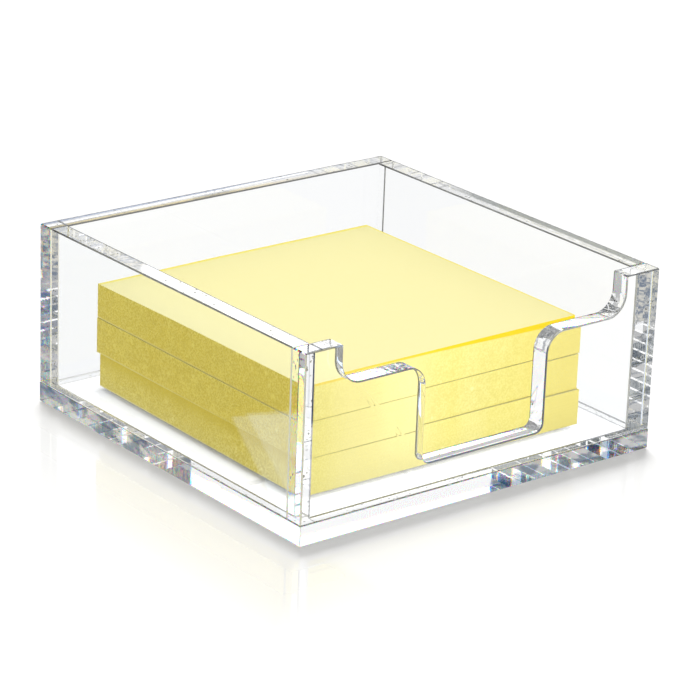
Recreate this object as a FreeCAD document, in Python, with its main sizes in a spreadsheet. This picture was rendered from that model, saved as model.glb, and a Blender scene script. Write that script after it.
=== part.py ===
import FreeCAD, Part
import os
import Sketcher

# An open memo pad holder: five clear sheets bonded into a tray, and three memo pads stacked in it.
# Frame: origin at the centre of the underside, X to the right, Y to the rear, Z up, millimetres.
# The front and back panels run the full width, the side walls are butted between them, and all
# four stand on the base plate.

DIMENSIONS = (
    ("holder_width", 100.0, "outside, left to right"),
    ("holder_depth", 100.0, "outside, front to rear"),
    ("holder_height", 43.5, "underside to rim"),
    ("sheet_thickness", 4.7, "the one sheet that all five panels are cut from"),
    ("arris", 0.3, "bevel along every sawn edge"),
    ("cutout_width", 80.0, "wide upper step of the front cut-out"),
    ("cutout_depth", 9.1, "rim down to the shelf"),
    ("shelf_corner_radius", 5.0, "inner corners where the shelf meets the uprights"),
    ("shoulder_radius", 5.0, "outer corners where the shelf turns down into the finger notch"),
    ("finger_width", 34.2, "narrow lower step of the front cut-out"),
    ("finger_floor_height", 11.4, "underside of the holder to the floor of the finger notch"),
    ("finger_corner_radius", 2.0, "inner corners of the finger notch"),
    ("pad_side", 76.2, "memo sheet, square"),
    ("pad_thickness", 8.6, "one memo pad"),
    ("bottom_pad_across", 0.5, "centre of the bottom pad, to the right"),
    ("bottom_pad_back", 1.8, "centre of the bottom pad, to the rear"),
    ("bottom_pad_turn", -0.7, "degrees, as it was dropped in"),
    ("middle_pad_across", -0.2, "centre of the middle pad, to the right"),
    ("middle_pad_back", 2.0, "centre of the middle pad, to the rear"),
    ("middle_pad_turn", -0.2, "degrees"),
    ("top_pad_across", 0.0, "centre of the top pad, to the right"),
    ("top_pad_back", 2.0, "centre of the top pad, to the rear"),
    ("top_pad_turn", 0.0, "degrees"),
)
PAD_NAMES = ("bottom", "middle", "top")
SHARP = 0.2  # radians between two faces, past which the edge they share is a corner
TOUCH = 0.01  # how near a point has to be to count as on an edge

document = FreeCAD.newDocument("memo_pad_holder")


def fill_sheet():
    sheet = document.addObject("Spreadsheet::Sheet", "dimensions")
    for row, (alias, value, meaning) in enumerate(DIMENSIONS, start=1):
        sheet.set(f"A{row}", alias)
        sheet.set(f"B{row}", str(value))
        sheet.setAlias(f"B{row}", alias)
        sheet.set(f"C{row}", meaning)
    document.recompute()
    return sheet


def new_body(label):
    body = document.addObject("PartDesign::Body", label)
    body.Label = label
    return body


def place(body, across="0", back="0", up="0"):
    for axis, expression in (("x", across), ("y", back), ("z", up)):
        body.setExpression(f"Placement.Base.{axis}", expression)


def new_sketch(body, name, plane_role):
    sketch = body.newObject("Sketcher::SketchObject", name)
    plane = next(item for item in body.Origin.OriginFeatures if item.Role == plane_role)
    sketch.AttachmentSupport = (plane, [""])
    sketch.MapMode = "FlatFace"
    return sketch


def add_size(sketch, name, direction, start, end, expression):
    """Drives the distance between two corners, each named by the line that starts there."""
    index = sketch.addConstraint(
        Sketcher.Constraint(direction, start, 1, end, 1, measured(sketch, direction, start, end))
    )
    sketch.renameConstraint(index, name)
    sketch.setExpression(f"Constraints.{name}", expression)


def measured(sketch, direction, start, end):
    gap = sketch.getPoint(end, 1) - sketch.getPoint(start, 1)
    return gap.x if direction == "DistanceX" else gap.y


def draw_outline(sketch, corners, mirrored=()):
    """Closes level and upright lines round the corners.

    Each mirrored pair of corners stays level and symmetric about the upright axis.
    """
    count = len(corners)
    for index, (across, up) in enumerate(corners):
        next_across, next_up = corners[(index + 1) % count]
        start, end = FreeCAD.Vector(across, up, 0), FreeCAD.Vector(next_across, next_up, 0)
        sketch.addGeometry(Part.LineSegment(start, end), False)
    for index, (across, _) in enumerate(corners):
        after = (index + 1) % count
        sketch.addConstraint(Sketcher.Constraint("Coincident", index, 2, after, 1))
        if across == corners[after][0]:
            sketch.addConstraint(Sketcher.Constraint("Vertical", index))
        elif {index, after} not in [set(pair) for pair in mirrored]:
            sketch.addConstraint(Sketcher.Constraint("Horizontal", index))
    for left, right in mirrored:
        sketch.addConstraint(Sketcher.Constraint("Symmetric", left, 1, right, 1, -2))


def flat_rectangle(body, plane_role, wide, deep, wide_by, deep_by):
    """A rectangle centred on the body's origin."""
    sketch = new_sketch(body, "outline", plane_role)
    half_wide, half_deep = wide / 2, deep / 2
    corners = [(-half_wide, -half_deep), (half_wide, -half_deep)]
    corners += [(half_wide, half_deep), (-half_wide, half_deep)]
    draw_outline(sketch, corners)
    sketch.addConstraint(Sketcher.Constraint("Symmetric", 0, 1, 2, 1, -1, 1))
    add_size(sketch, "wide", "DistanceX", 0, 1, wide_by)
    add_size(sketch, "deep", "DistanceY", 1, 2, deep_by)
    return sketch


def standing_rectangle(body, plane_role, wide, tall, wide_by, tall_by):
    """A rectangle that stands on the body's origin."""
    sketch = new_sketch(body, "outline", plane_role)
    corners = [(-wide / 2, 0), (wide / 2, 0), (wide / 2, tall), (-wide / 2, tall)]
    draw_outline(sketch, corners, mirrored=[(0, 1)])
    sketch.addConstraint(Sketcher.Constraint("PointOnObject", 0, 1, -1))
    add_size(sketch, "wide", "DistanceX", 0, 1, wide_by)
    add_size(sketch, "tall", "DistanceY", 1, 2, tall_by)
    return sketch


def pad(body, sketch, length_by, midplane=False):
    feature = body.newObject("PartDesign::Pad", "thickness")
    feature.Profile = sketch
    feature.Midplane = midplane
    feature.setExpression("Length", length_by)
    document.recompute()
    return feature


def is_sharp(shape, edge):
    middle = edge.valueAt((edge.FirstParameter + edge.LastParameter) / 2)
    normals = []
    for face in shape.ancestorsOfType(edge, Part.Face):
        normals.append(face.normalAt(*face.Surface.parameter(middle)))
    return normals[0].getAngle(normals[1]) > SHARP


def bevel_edges(body):
    """The arris along every sawn edge: polishing leaves one, and it shows as a line at each joint."""
    last = body.Tip
    sharp = []
    for number, edge in enumerate(last.Shape.Edges, start=1):
        if is_sharp(last.Shape, edge):
            sharp.append(f"Edge{number}")
    chamfer = body.newObject("PartDesign::Chamfer", "arris")
    chamfer.Base = (last, sharp)
    chamfer.setExpression("Size", "dimensions.arris")
    document.recompute()


def round_corners(body, name, places, radius_by):
    """Fillets the edges through the panel whose middles lie at the given (x, z)."""
    last = body.Tip
    chosen = []
    for number, edge in enumerate(last.Shape.Edges, start=1):
        middle = edge.CenterOfMass
        for across, up in places:
            if abs(middle.x - across) < TOUCH and abs(middle.z - up) < TOUCH:
                chosen.append(f"Edge{number}")
    fillet = body.newObject("PartDesign::Fillet", name)
    fillet.Base = (last, chosen)
    fillet.setExpression("Radius", radius_by)
    document.recompute()


def make_base_plate(sizes):
    body = new_body("base_plate")
    width, depth = float(sizes.holder_width), float(sizes.holder_depth)
    sketch = flat_rectangle(
        body, "XY_Plane", width, depth, "dimensions.holder_width", "dimensions.holder_depth"
    )
    pad(body, sketch, "dimensions.sheet_thickness")
    bevel_edges(body)
    return body


def make_back_panel(sizes):
    body = new_body("back_panel")
    width, height = float(sizes.holder_width), wall_height(sizes)
    sketch = standing_rectangle(
        body, "XZ_Plane", width, height, "dimensions.holder_width", WALL_HEIGHT
    )
    pad(body, sketch, "dimensions.sheet_thickness", midplane=True)
    bevel_edges(body)
    place(body, back=f"{PANEL_MIDDLE_DEPTH}", up="dimensions.sheet_thickness")
    return body


def make_side_wall(sizes, label, side):
    """side is -1 for the left wall and 1 for the right one."""
    body = new_body(label)
    length = float(sizes.holder_depth) - 2 * float(sizes.sheet_thickness)
    sketch = standing_rectangle(
        body, "YZ_Plane", length, wall_height(sizes), SIDE_LENGTH, WALL_HEIGHT
    )
    pad(body, sketch, "dimensions.sheet_thickness", midplane=True)
    bevel_edges(body)
    place(body, across=f"{side} * {PANEL_MIDDLE_WIDTH}", up="dimensions.sheet_thickness")
    return body


def make_front_panel(sizes):
    """The back panel's blank with a two-step cut-out: a wide shelf, and a finger notch below it."""
    body = new_body("front_panel")
    half_width, top = float(sizes.holder_width) / 2, wall_height(sizes)
    half_cutout, shelf = float(sizes.cutout_width) / 2, top - float(sizes.cutout_depth)
    half_finger = float(sizes.finger_width) / 2
    floor = float(sizes.finger_floor_height) - float(sizes.sheet_thickness)
    right_side = [(half_width, 0), (half_width, top), (half_cutout, top)]
    right_side += [(half_cutout, shelf), (half_finger, shelf), (half_finger, floor)]
    left_side = [(-across, up) for across, up in reversed(right_side)]
    bottom_left, bottom_right, top_right, rim_right, shelf_right, _, floor_right = 11, 0, 1, 2, 3, 4, 5
    floor_left, shelf_left, rim_left = 6, 8, 9
    sketch = new_sketch(body, "outline", "XZ_Plane")
    pairs = [(bottom_left, bottom_right), (rim_left, rim_right), (floor_left, floor_right)]
    draw_outline(sketch, right_side + left_side, mirrored=pairs)
    sketch.addConstraint(Sketcher.Constraint("Horizontal", shelf_left, 1, shelf_right, 1))
    sketch.addConstraint(Sketcher.Constraint("PointOnObject", bottom_right, 1, -1))
    add_size(sketch, "wide", "DistanceX", bottom_left, bottom_right, "dimensions.holder_width")
    add_size(sketch, "tall", "DistanceY", bottom_right, top_right, WALL_HEIGHT)
    add_size(sketch, "cutout", "DistanceX", rim_left, rim_right, "dimensions.cutout_width")
    add_size(sketch, "shelf_drop", "DistanceY", shelf_right, rim_right, "dimensions.cutout_depth")
    add_size(sketch, "finger", "DistanceX", floor_left, floor_right, "dimensions.finger_width")
    add_size(sketch, "floor", "DistanceY", bottom_right, floor_right, FINGER_FLOOR)
    pad(body, sketch, "dimensions.sheet_thickness", midplane=True)
    steps = (
        ("shelf_corners", half_cutout, shelf, "dimensions.shelf_corner_radius"),
        ("shoulders", half_finger, shelf, "dimensions.shoulder_radius"),
        ("finger_corners", half_finger, floor, "dimensions.finger_corner_radius"),
    )
    for name, across, up, radius_by in steps:
        round_corners(body, name, [(-across, up), (across, up)], radius_by)
    bevel_edges(body)
    place(body, back=f"-({PANEL_MIDDLE_DEPTH})", up="dimensions.sheet_thickness")
    return body


def make_memo_pad(sizes, name, number):
    """One block of memo sheets, lying where it was dropped on the one below."""
    body = new_body(f"memo_pad_{name}")
    side = float(sizes.pad_side)
    sketch = flat_rectangle(
        body, "XY_Plane", side, side, "dimensions.pad_side", "dimensions.pad_side"
    )
    pad(body, sketch, "dimensions.pad_thickness")
    place(
        body,
        across=f"dimensions.{name}_pad_across",
        back=f"dimensions.{name}_pad_back",
        up=f"dimensions.sheet_thickness + {number} * dimensions.pad_thickness",
    )
    body.setExpression("Placement.Rotation.Angle", f"dimensions.{name}_pad_turn * 1 deg")
    return body


def wall_height(sizes):
    return float(sizes.holder_height) - float(sizes.sheet_thickness)


WALL_HEIGHT = "dimensions.holder_height - dimensions.sheet_thickness"
SIDE_LENGTH = "dimensions.holder_depth - 2 * dimensions.sheet_thickness"
FINGER_FLOOR = "dimensions.finger_floor_height - dimensions.sheet_thickness"
PANEL_MIDDLE_DEPTH = "(dimensions.holder_depth - dimensions.sheet_thickness) / 2"
PANEL_MIDDLE_WIDTH = "(dimensions.holder_width - dimensions.sheet_thickness) / 2"


def make_all():
    sizes = fill_sheet()
    pieces = [make_base_plate(sizes), make_front_panel(sizes), make_back_panel(sizes)]
    pieces.append(make_side_wall(sizes, "left_wall", -1))
    pieces.append(make_side_wall(sizes, "right_wall", 1))
    for number, name in enumerate(PAD_NAMES):
        pieces.append(make_memo_pad(sizes, name, number))
    document.recompute()
    return pieces


def check(pieces):
    for item in document.Objects:
        if "Invalid" in item.State or "Error" in item.State:
            raise RuntimeError(f"{item.Label} did not build: {item.State}")
    for piece in pieces:
        if piece.Shape.isNull() or not piece.Shape.isValid():
            raise RuntimeError(f"{piece.Label} has no valid shape")


def export(pieces):
    os.makedirs("parts", exist_ok=True)
    for piece in pieces:
        piece.Shape.exportStep(f"parts/{piece.Label}.step")
        box = piece.Shape.BoundBox
        print(
            f"{piece.Label}: {piece.Shape.Volume:.0f} mm3,"
            f" x {box.XMin:.2f}..{box.XMax:.2f}, y {box.YMin:.2f}..{box.YMax:.2f},"
            f" z {box.ZMin:.2f}..{box.ZMax:.2f}"
        )


made = make_all()
check(made)
export(made)
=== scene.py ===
"""Looks of an open desk tray: five sheets of clear acrylic cemented together, with three yellow memo
pads inside."""
import math
import random

import bpy
from mathutils import Matrix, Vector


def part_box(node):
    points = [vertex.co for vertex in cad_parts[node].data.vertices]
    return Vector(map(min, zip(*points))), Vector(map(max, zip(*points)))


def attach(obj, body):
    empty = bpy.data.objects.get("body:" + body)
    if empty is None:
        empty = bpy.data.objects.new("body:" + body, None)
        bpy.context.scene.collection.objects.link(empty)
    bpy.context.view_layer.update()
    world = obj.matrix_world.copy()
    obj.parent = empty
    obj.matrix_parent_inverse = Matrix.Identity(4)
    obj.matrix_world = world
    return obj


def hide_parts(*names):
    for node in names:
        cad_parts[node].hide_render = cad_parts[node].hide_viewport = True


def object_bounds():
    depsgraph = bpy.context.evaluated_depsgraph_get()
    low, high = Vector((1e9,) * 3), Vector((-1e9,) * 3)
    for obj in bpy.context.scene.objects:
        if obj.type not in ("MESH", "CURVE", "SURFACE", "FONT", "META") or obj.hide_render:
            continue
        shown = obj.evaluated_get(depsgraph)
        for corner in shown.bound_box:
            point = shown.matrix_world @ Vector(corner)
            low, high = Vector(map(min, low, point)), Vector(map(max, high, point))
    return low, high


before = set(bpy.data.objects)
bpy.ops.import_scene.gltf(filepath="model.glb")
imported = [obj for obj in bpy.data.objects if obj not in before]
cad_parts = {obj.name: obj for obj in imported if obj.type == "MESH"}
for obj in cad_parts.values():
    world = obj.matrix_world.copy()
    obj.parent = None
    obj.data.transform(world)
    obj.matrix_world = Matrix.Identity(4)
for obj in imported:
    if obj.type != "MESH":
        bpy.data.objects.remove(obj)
CAD_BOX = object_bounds()

MM = 0.001

# ---------------------------------------------------------------- the tray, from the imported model

TRAY_LOW, TRAY_HIGH = CAD_BOX
# Half the width inside the walls, and where they stand on the base.
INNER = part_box("right_wall")[0].x
BASE_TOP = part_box("base_plate")[1].z
# The arris scraped along every edge; the base sheet's is finer.
ARRIS = 0.26 * MM
BASE_ARRIS = 0.1 * MM
# Two sheets are cemented outside this distance from the tray's middle.
CEMENTED = INNER + ARRIS
RIM_LEVEL = TRAY_HIGH.z - ARRIS
RIM_MIDDLE = (TRAY_HIGH.x + INNER) / 2
# The front panel's cut-out lies inside this half width and above this level; its middle level, and half the
# width of its finger notch.
CUT_HALF = INNER - 1 * MM
CUT_FLOOR = BASE_TOP + 1 * MM
CUT_MIDDLE = (BASE_TOP + TRAY_HIGH.z) / 2
NOTCH_HALF = 17.1 * MM
# By its normal's share along an axis, a face runs along it, leans towards it, is square to it, or is flat
# across it: below the first, and from each of the others on.
RUNNING, LEANING, SQUARE, FLAT = 0.1, 0.3, 0.9, 0.99
# Points this close are one; a cut keeps off points this close to it.
MERGED = 1e-6
CUT_CLOSE = 1e-7
# Faces are made one flat, or shaded as one round, up to these angles in degrees.
FLAT_ANGLE = 0.5
SMOOTH_ANGLE = 20

# ---------------------------------------------------------------- acrylic

WHITE = (1.0, 1.0, 1.0, 1.0)
ACRYLIC_IOR = 1.49
ACRYLIC_TINT = (0.985, 0.993, 1.0, 1.0)
# Waves left by polishing: depth, and how many to the metre along and across an edge.
POLISH_DEPTH = 0.006 * MM
WAVES_ALONG, WAVES_ACROSS = 1300.0, 350.0
# The polished edges bend red, green and blue light a little differently.
COLOUR_SPLIT = (
    ((1.0, 0.0, 0.0, 1.0), 1.4865),
    ((0.0, 1.0, 0.0, 1.0), 1.490),
    ((0.0, 0.0, 1.0, 1.0), 1.494),
)

# The share of a spot's size that is whole.
SPOT_CORE = 0.6
# In what follows, limits are the values of a noise at which its pattern starts and is whole.
# The cement's bubbles: tint, how many to the metre, size, and the share of the cells that hold one.
BUBBLE = (0.74, 0.76, 0.78, 1.0)
BUBBLES = {"scale": 900.0, "size": 0.36, "share": 0.5}
# They come in patches, with this cover between them and in them, and the rear right joint has none.
BUBBLE_PATCHES = 260.0
PATCH_LIMITS, PATCH_COVER = (0.46, 0.58), (0.05, 0.9)
CLEAN_JOINT = 40 * MM
# The front right joint's level streaks: tint, how many to the metre across and up, cover, and the levels
# where they end and where they are whole.
STREAK = (0.14, 0.19, 0.27, 1.0)
STREAKS = (150.0, 150.0, 620.0)
STREAK_LIMITS, STREAK_COVER = (0.50, 0.62), (0.0, 0.45)
STREAK_TOP = (32 * MM, 28 * MM)
CEMENT_ROUGHNESS = 0.3
# The line that ends the front left joint: width, its upper and lower tints, its lower and upper cover, and
# the levels where one turns into the other.
JOINT_LINE = 0.42 * MM
JOINT_BLUE = (0.03, 0.16, 0.50, 1.0)
JOINT_DARK = (0.05, 0.06, 0.09, 1.0)
JOINT_COVER = (0.4, 0.9)
JOINT_TURN = (25.5 * MM, 26.5 * MM)

# Grey clouds of painted dark reflection in the outer edges: tint, lean, how many to the metre, and their
# share above the base. They start where x and y added up are this much, about the middle of the front and
# of the left side.
CLOUD_REFLECTION = (0.42, 0.48, 0.56, 1.0)
CLOUD_LIMITS = (0.56, 0.42)
CLOUD_SLANT = 1.3
CLOUDS_ALONG, CLOUDS_ACROSS = 170.0, 330.0
CLOUDS_UPRIGHT = 0.3
CLOUDS_START = (TRAY_LOW.x + 2 * MM, TRAY_LOW.x + 4 * MM)
# The mottled grey patch on the cut-out's left shelf: its middle and half its length, tint, and how many
# mottles to the metre.
SHELF_PATCH = (-23.7 * MM, 4.4 * MM)
SHELF_GREY = (0.46, 0.48, 0.53, 1.0)
SHELF_MOTTLE = 1100.0
SHELF_LIMITS = (0.42, 0.58)

# The scraped arris's tones, painted shade on the level ones and painted highlights on the upright ones:
# level ones, those of the cut-out and of its right hand step, those along the rear rim, upright ones, and
# the seam at the front right.
ARRIS_LEVEL = (0.18, 0.19, 0.21, 1.0)
ARRIS_CUT = (0.08, 0.09, 0.14, 1.0)
ARRIS_STEP = (0.50, 0.52, 0.55, 1.0)
ARRIS_REAR = (0.06, 0.06, 0.06, 1.0)
ARRIS_UPRIGHT = (0.96, 0.98, 1.0, 1.0)
ARRIS_SEAM = (0.80, 0.88, 1.0, 1.0)
ARRIS_FROST = 0.75
ARRIS_ROUGHNESS = 0.35
# A facet's painted tone turns from the upright highlight to the level shade between these upward shares of
# its normal.
ARRIS_TURN = (0.1, 0.5)
# The walls' feet get a painted white highlight from this difference of y and x on, and nowhere below this
# sum of them.
FOOT_REAR_LEFT = 1.4 * INNER
FOOT_FROM_LEFT = TRAY_LOW.x - 2 * MM

# The rear rim has painted reflections, blue outside its middle and warm inside it: tints, where each starts
# and is whole, counted from the middle, and where both fade out to the right.
REAR_RIM_BLUE = (0.24, 0.34, 0.62, 1.0)
REAR_RIM_WARM = (0.66, 0.45, 0.13, 1.0)
BLUE_HALF = (0.3 * MM, 1.6 * MM)
WARM_HALF = (-0.4 * MM, -1.4 * MM)
REAR_FADE = (60 * MM, -10 * MM)
# The right rim has a painted grey reflection outside: tint, where it starts and is whole, and where it
# fades out to the rear.
RIGHT_RIM_GREY = (0.12, 0.135, 0.125, 1.0)
GREY_HALF = (-0.4 * MM, 0.2 * MM)
RIGHT_FADE = (30 * MM, 10 * MM)
# A dark line of painted shade runs along the far edges of the rims and of the cut-out.
RIM_LINE = 0.36 * MM
CUT_LINE = 0.22 * MM
FAR_EDGE_SHADE = (0.05, 0.055, 0.06, 1.0)

# ---------------------------------------------------------------- memo pads

# Each pad's node, its body, and its turn on the stack in degrees.
PADS = (
    ("memo_pad_bottom", "pad_bottom", -0.7),
    ("memo_pad_middle", "pad_middle", -0.2),
    ("memo_pad_top", "pad_top", 0.0),
)
PAD_SIDE = 76.2 * MM
# A pad's top and bottom stay this far inside its place in the stack.
PAD_GAP = 0.10 * MM
# A pad is a grid of this many squares a side, grown by bundles of sheets that are out of line a little.
PAD_GRID = 48
BUNDLES = 24
BUNDLE_SHIFT = 0.03 * MM
BUNDLE_SEED = 3
# The sheets stand this far inside the outline of their backing.
BACKING_STEP = 0.10 * MM
# How far the cut sides wander, and over what length.
SIDE_WAVES = 0.10 * MM
SIDE_WAVE_LENGTH = 7 * MM
# The top sheets' rear left corner hangs down this much, with the paper this far round it.
CORNER_DROOP = 0.28 * MM
DROOP_REACH = 34 * MM

# The stack of pads in the frame.
PAD_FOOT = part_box("memo_pad_bottom")[0].z
PAD_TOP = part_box("memo_pad_top")[1].z
PAD_THICK = (PAD_TOP - PAD_FOOT) / 3
PAD_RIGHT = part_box("memo_pad_top")[1].x
PAD_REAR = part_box("memo_pad_top")[1].y

# Paper colours.
EDGE_DEEP = (0.93, 0.85, 0.28, 1.0)
EDGE_PALE = (0.95, 0.885, 0.34, 1.0)
EDGE_DULL = (0.75, 0.67, 0.18, 1.0)
EDGE_FIBRE = (1.0, 0.95, 0.44, 1.0)
EDGE_SHADE = (0.76, 0.67, 0.12, 1.0)
EDGE_WARM = (0.89, 0.765, 0.20, 1.0)
EDGE_HAZY = (0.97, 0.89, 0.39, 1.0)
SPECK = (0.42, 0.36, 0.14, 1.0)
BACKING = (0.95, 0.92, 0.62, 1.0)
BRIGHT_EDGE = (0.93, 0.70, 0.03, 1.0)
SHEET_PALE = (0.93, 0.895, 0.52, 1.0)
SHEET_WARM = (0.93, 0.885, 0.48, 1.0)
SHEET_BORDER = (0.95, 0.86, 0.20, 1.0)
# Patterns of the paper, to the metre: upright bands, mottle and grain.
PAPER_BANDS = (130.0, 130.0, 12.0)
PAPER_MOTTLE, PAPER_GRAIN = 620.0, 2400.0
BAND_LIMITS = (0.35, 0.65)
# What they do to the cut edges: pattern, limits, how much, and tint. The front takes this share of it.
PAPER_TINTS = (
    ("mottle", (0.35, 0.65), 0.35, EDGE_DULL),
    ("grain", (0.45, 0.62), 0.75, EDGE_DULL),
    ("grain", (0.48, 0.34), 0.75, EDGE_FIBRE),
)
FRONT_SHARE = 0.35
# How much the mottle warms the flat sheet.
SHEET_LIMITS, SHEET_SHARE = (0.3, 0.7), (0.0, 0.25)
# Pale fibres and dark specks in the cut edges: tint, and the spots' values.
PAPER_SPOTS = (
    (EDGE_FIBRE, {"scale": 260.0, "size": 0.16, "share": 0.3}),
    (SPECK, {"scale": 90.0, "size": 0.035, "share": 0.25}),
)
# A face belongs to the front, or to the flat sheet, between these shares of its normal.
FRONT_TURN, FLAT_TURN = (-0.4, -0.6), (0.6, 0.8)
# The stretches of the front that are deeper in colour and hazy, and how much.
DEEPER_FRONT, DEEPER_SHARE = (0.2 * PAD_SIDE, 0.46 * PAD_SIDE), (0.0, 0.8)
HAZE_LEFT, HAZE_RIGHT = (-0.5 * PAD_SIDE, -0.35 * PAD_SIDE), (0.0, -0.12 * PAD_SIDE)
HAZE_SHARE = (0.0, 0.7)
# The backing sheet's thickness, and how far the pads reach to the front and rear.
BACKING_THICK = (0.42 * MM, 0.30 * MM)
PAD_REACH = (-0.5 * PAD_SIDE, 0.5 * PAD_SIDE)
# The levels on the lowest pad between which the shade of the pad above it grows, and how deep it is.
SHADE_RISE = (PAD_FOOT + 0.5 * PAD_THICK, PAD_FOOT + 0.96 * PAD_THICK)
SHADE_SHARE = (0.0, 0.75)
# The bright band under the top sheets' front edge: where it widens, its depth there, how soft its lower
# edge is, and where and from what share it strengthens.
BAND_WIDENS, BAND_DEPTH = (-0.2 * PAD_SIDE, 0.5 * PAD_SIDE), (0.65 * MM, 1.50 * MM)
BAND_EDGE = 0.15 * MM
BAND_GROWS, BAND_SHARE = (-0.55 * PAD_SIDE, 0.1 * PAD_SIDE), (0.6, 1.0)
# The deeper line along the flat sheet's borders: where it starts and is whole.
BORDER_LINE = (0.9 * MM, 0.2 * MM)
PAPER_ROUGHNESS = 0.85
PAPER_GLOSS = 0.1

# ---------------------------------------------------------------- light

# Light on the paper, by where it comes from, and the directions' parts between which one turns into the
# next: y towards the front, x towards the left.
SOFT_LIGHT = (1.14, 1.14, 1.16, 1.0)
FRONT_LIGHT = (1.42, 1.42, 1.50, 1.0)
FLOOR_BOUNCE = (1.40, 1.40, 1.44, 1.0)
LEFT_LIGHT = (0.83, 0.685, 0.01, 1.0)
FRONT_SIDE, LEFT_SIDE = (-0.15, -0.8), (-0.85, 0.0)
# The stretch of the floor, in x, over which its bounce turns from the left's light to the full one.
BOUNCE_TURN = (-60 * MM, -30 * MM)
# Each sheet's two faces mirror some light away, which these make up for.
WALLED_GAIN = 0.08
WALLED_FRONT_GAIN = 0.30
SEEN_GAIN = 0.06
SEEN_BASE = 0.93
# White backdrop as light led inside the acrylic meets it, above and below the horizon.
ABOVE_BACKDROP = 1.25
BELOW_BACKDROP = 1.7
# Led light meets the backdrop where its x and y are above this, and the dark room where one is below minus
# this. The room's parts are mottled, each between two tones.
STRAIGHT_EDGE = 0.02
DARK_RIGHT = ((0.05, 0.07, 0.10, 1.0), (0.52, 0.54, 0.54, 1.0))
DARK_LEFT = ((0.14, 0.18, 0.24, 1.0), (0.72, 0.70, 0.64, 1.0))
DARK_BEHIND = ((0.46, 0.50, 0.60, 1.0), (0.98, 0.98, 0.98, 1.0))
DARK_BESIDE = (0.82, 1.0)
DARK_GRAIN = (40.0, 40.0, 90.0)
MOTTLE_LIMITS, BEHIND_LIMITS = (0.38, 0.62), (0.36, 0.60)
# The backdrop's left end, as x over y.
BACKDROP_END = (0.81, 0.79)
# Glowing mottled patches painted into the floor, which led light meets under the rear left corner and
# beyond the rear right one, to make painted reflections in the corner strips, each with how many mottles
# to the metre.
UNDER_CORNER = ((0.42, 0.45, 0.49, 1.0), (0.98, 0.96, 0.92, 1.0))
BEYOND_CORNER = ((0.17, 0.21, 0.28, 1.0), (0.68, 0.66, 0.60, 1.0))
UNDER_MOTTLE, BEYOND_MOTTLE = 900.0, 320.0
# Where the first starts and is whole, as y less x, and the second, as the smaller of x and y.
UNDER_START = (86 * MM, 89 * MM)
BEYOND_START = (0.0, 4 * MM)
# The longest way down to the floor that light led in the base sheet takes after leaving it.
BASE_FALL = 17 * MM

# The floor as the camera meets it: its paint, its glow, and its polish to the left, in front, to the right
# and under the tray.
FLOOR_WHITE = 0.08
FLOOR_GLOW = 0.47
POLISH_LEFT, POLISH_FRONT, POLISH_RIGHT = 0.20, 0.07, 0.15
POLISH_UNDER = 0.05
FLOOR_ROUGHNESS = 0.05
# The polish is whole this far from the tray, then starts to fade and ends. It turns from the left's to the
# front's over this stretch of x.
POLISH_WHOLE = 10 * MM
POLISH_FADE = (14 * MM, 38 * MM)
POLISH_TURN = (TRAY_LOW.x - 1 * MM, TRAY_LOW.x + 5 * MM)
FLOOR_SIZE = 6.0
FLOOR_LEVEL, THROUGH_LEVEL = -0.2 * MM, -0.25 * MM
# The floor as it is seen through the acrylic: its paint outside and under the tray, how soft the change is,
# its glow where it is open behind the pads, and where that starts and is whole.
THROUGH_WHITE = 0.072
UNDER_WHITE = 0.094
UNDER_EDGE = 0.5 * MM
OPEN_FLOOR = 13.5
OPEN_FROM = (0.3 * MM, 4.3 * MM)
# What the tray's outer faces mirror of the floor, further left and further right, and where it turns.
MIRROR_GLOW = (0.27, 0.5)
MIRROR_TURN = (-60 * MM, -40 * MM)

# A glowing patch painted into the floor, which the left wall mirrors as a painted reflection: its
# corner, its turn in degrees, its light and how soft its edge is.
VEIL_CORNER = (-81.9 * MM, 17.8 * MM)
VEIL_TURN = 25.5
VEIL_GLOW = (1.25, 1.55, 2.15, 1.0)
VEIL_EDGE = 0.6 * MM

# The lamps that light the floors, with the base's and the pads' shadows: turn, lean and softness in degrees,
# and strength.
BASE_LAMP = (-33, 60, 44, 41.7)
PAD_LAMP = (-14, -26, 37, 49.4)
# Light is followed through this many faces of the acrylic. A count above the next two is once or more, and
# twice or more.
BOUNCES = 48
ONCE, TWICE = 0.5, 1.5

# Camera, as a pinhole.
LENS = 162.16
SENSOR = 36.0
CAMERA_AT = (-423.72 * MM, -526.52 * MM, 272.54 * MM)
CAMERA_YAW, CAMERA_PITCH, CAMERA_ROLL = 38.958, -20.616, 2.187


# ---------------------------------------------------------------- small helpers

def deselect():
    bpy.ops.object.select_all(action="DESELECT")


def only(piece):
    """Makes a piece the one selected and active object."""
    deselect()
    piece.select_set(True)
    bpy.context.view_layer.objects.active = piece


def select_faces(piece, wanted):
    """Selects the faces that the test accepts, in object mode."""
    for face in piece.data.polygons:
        face.select = wanted(face)
    for edge in piece.data.edges:
        edge.select = False
    for vertex in piece.data.vertices:
        vertex.select = False


def edit(piece):
    only(piece)
    bpy.ops.object.mode_set(mode="EDIT")
    bpy.ops.mesh.select_mode(type="FACE")


def done():
    bpy.ops.object.mode_set(mode="OBJECT")


def cut(piece, wanted, point, normal):
    """Bisects the faces that the test accepts along a plane."""
    select_faces(piece, wanted)
    edit(piece)
    bpy.ops.mesh.bisect(plane_co=point, plane_no=normal, threshold=CUT_CLOSE)
    done()


# ---------------------------------------------------------------- node helpers

def new_material(name):
    material = bpy.data.materials.new(name)
    material.use_nodes = True
    material.node_tree.nodes.clear()
    return material


def give(tree, socket, value):
    """Links a socket to another one, or sets it to a plain value."""
    if isinstance(value, bpy.types.NodeSocket):
        tree.links.new(value, socket)
    else:
        socket.default_value = value


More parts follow.
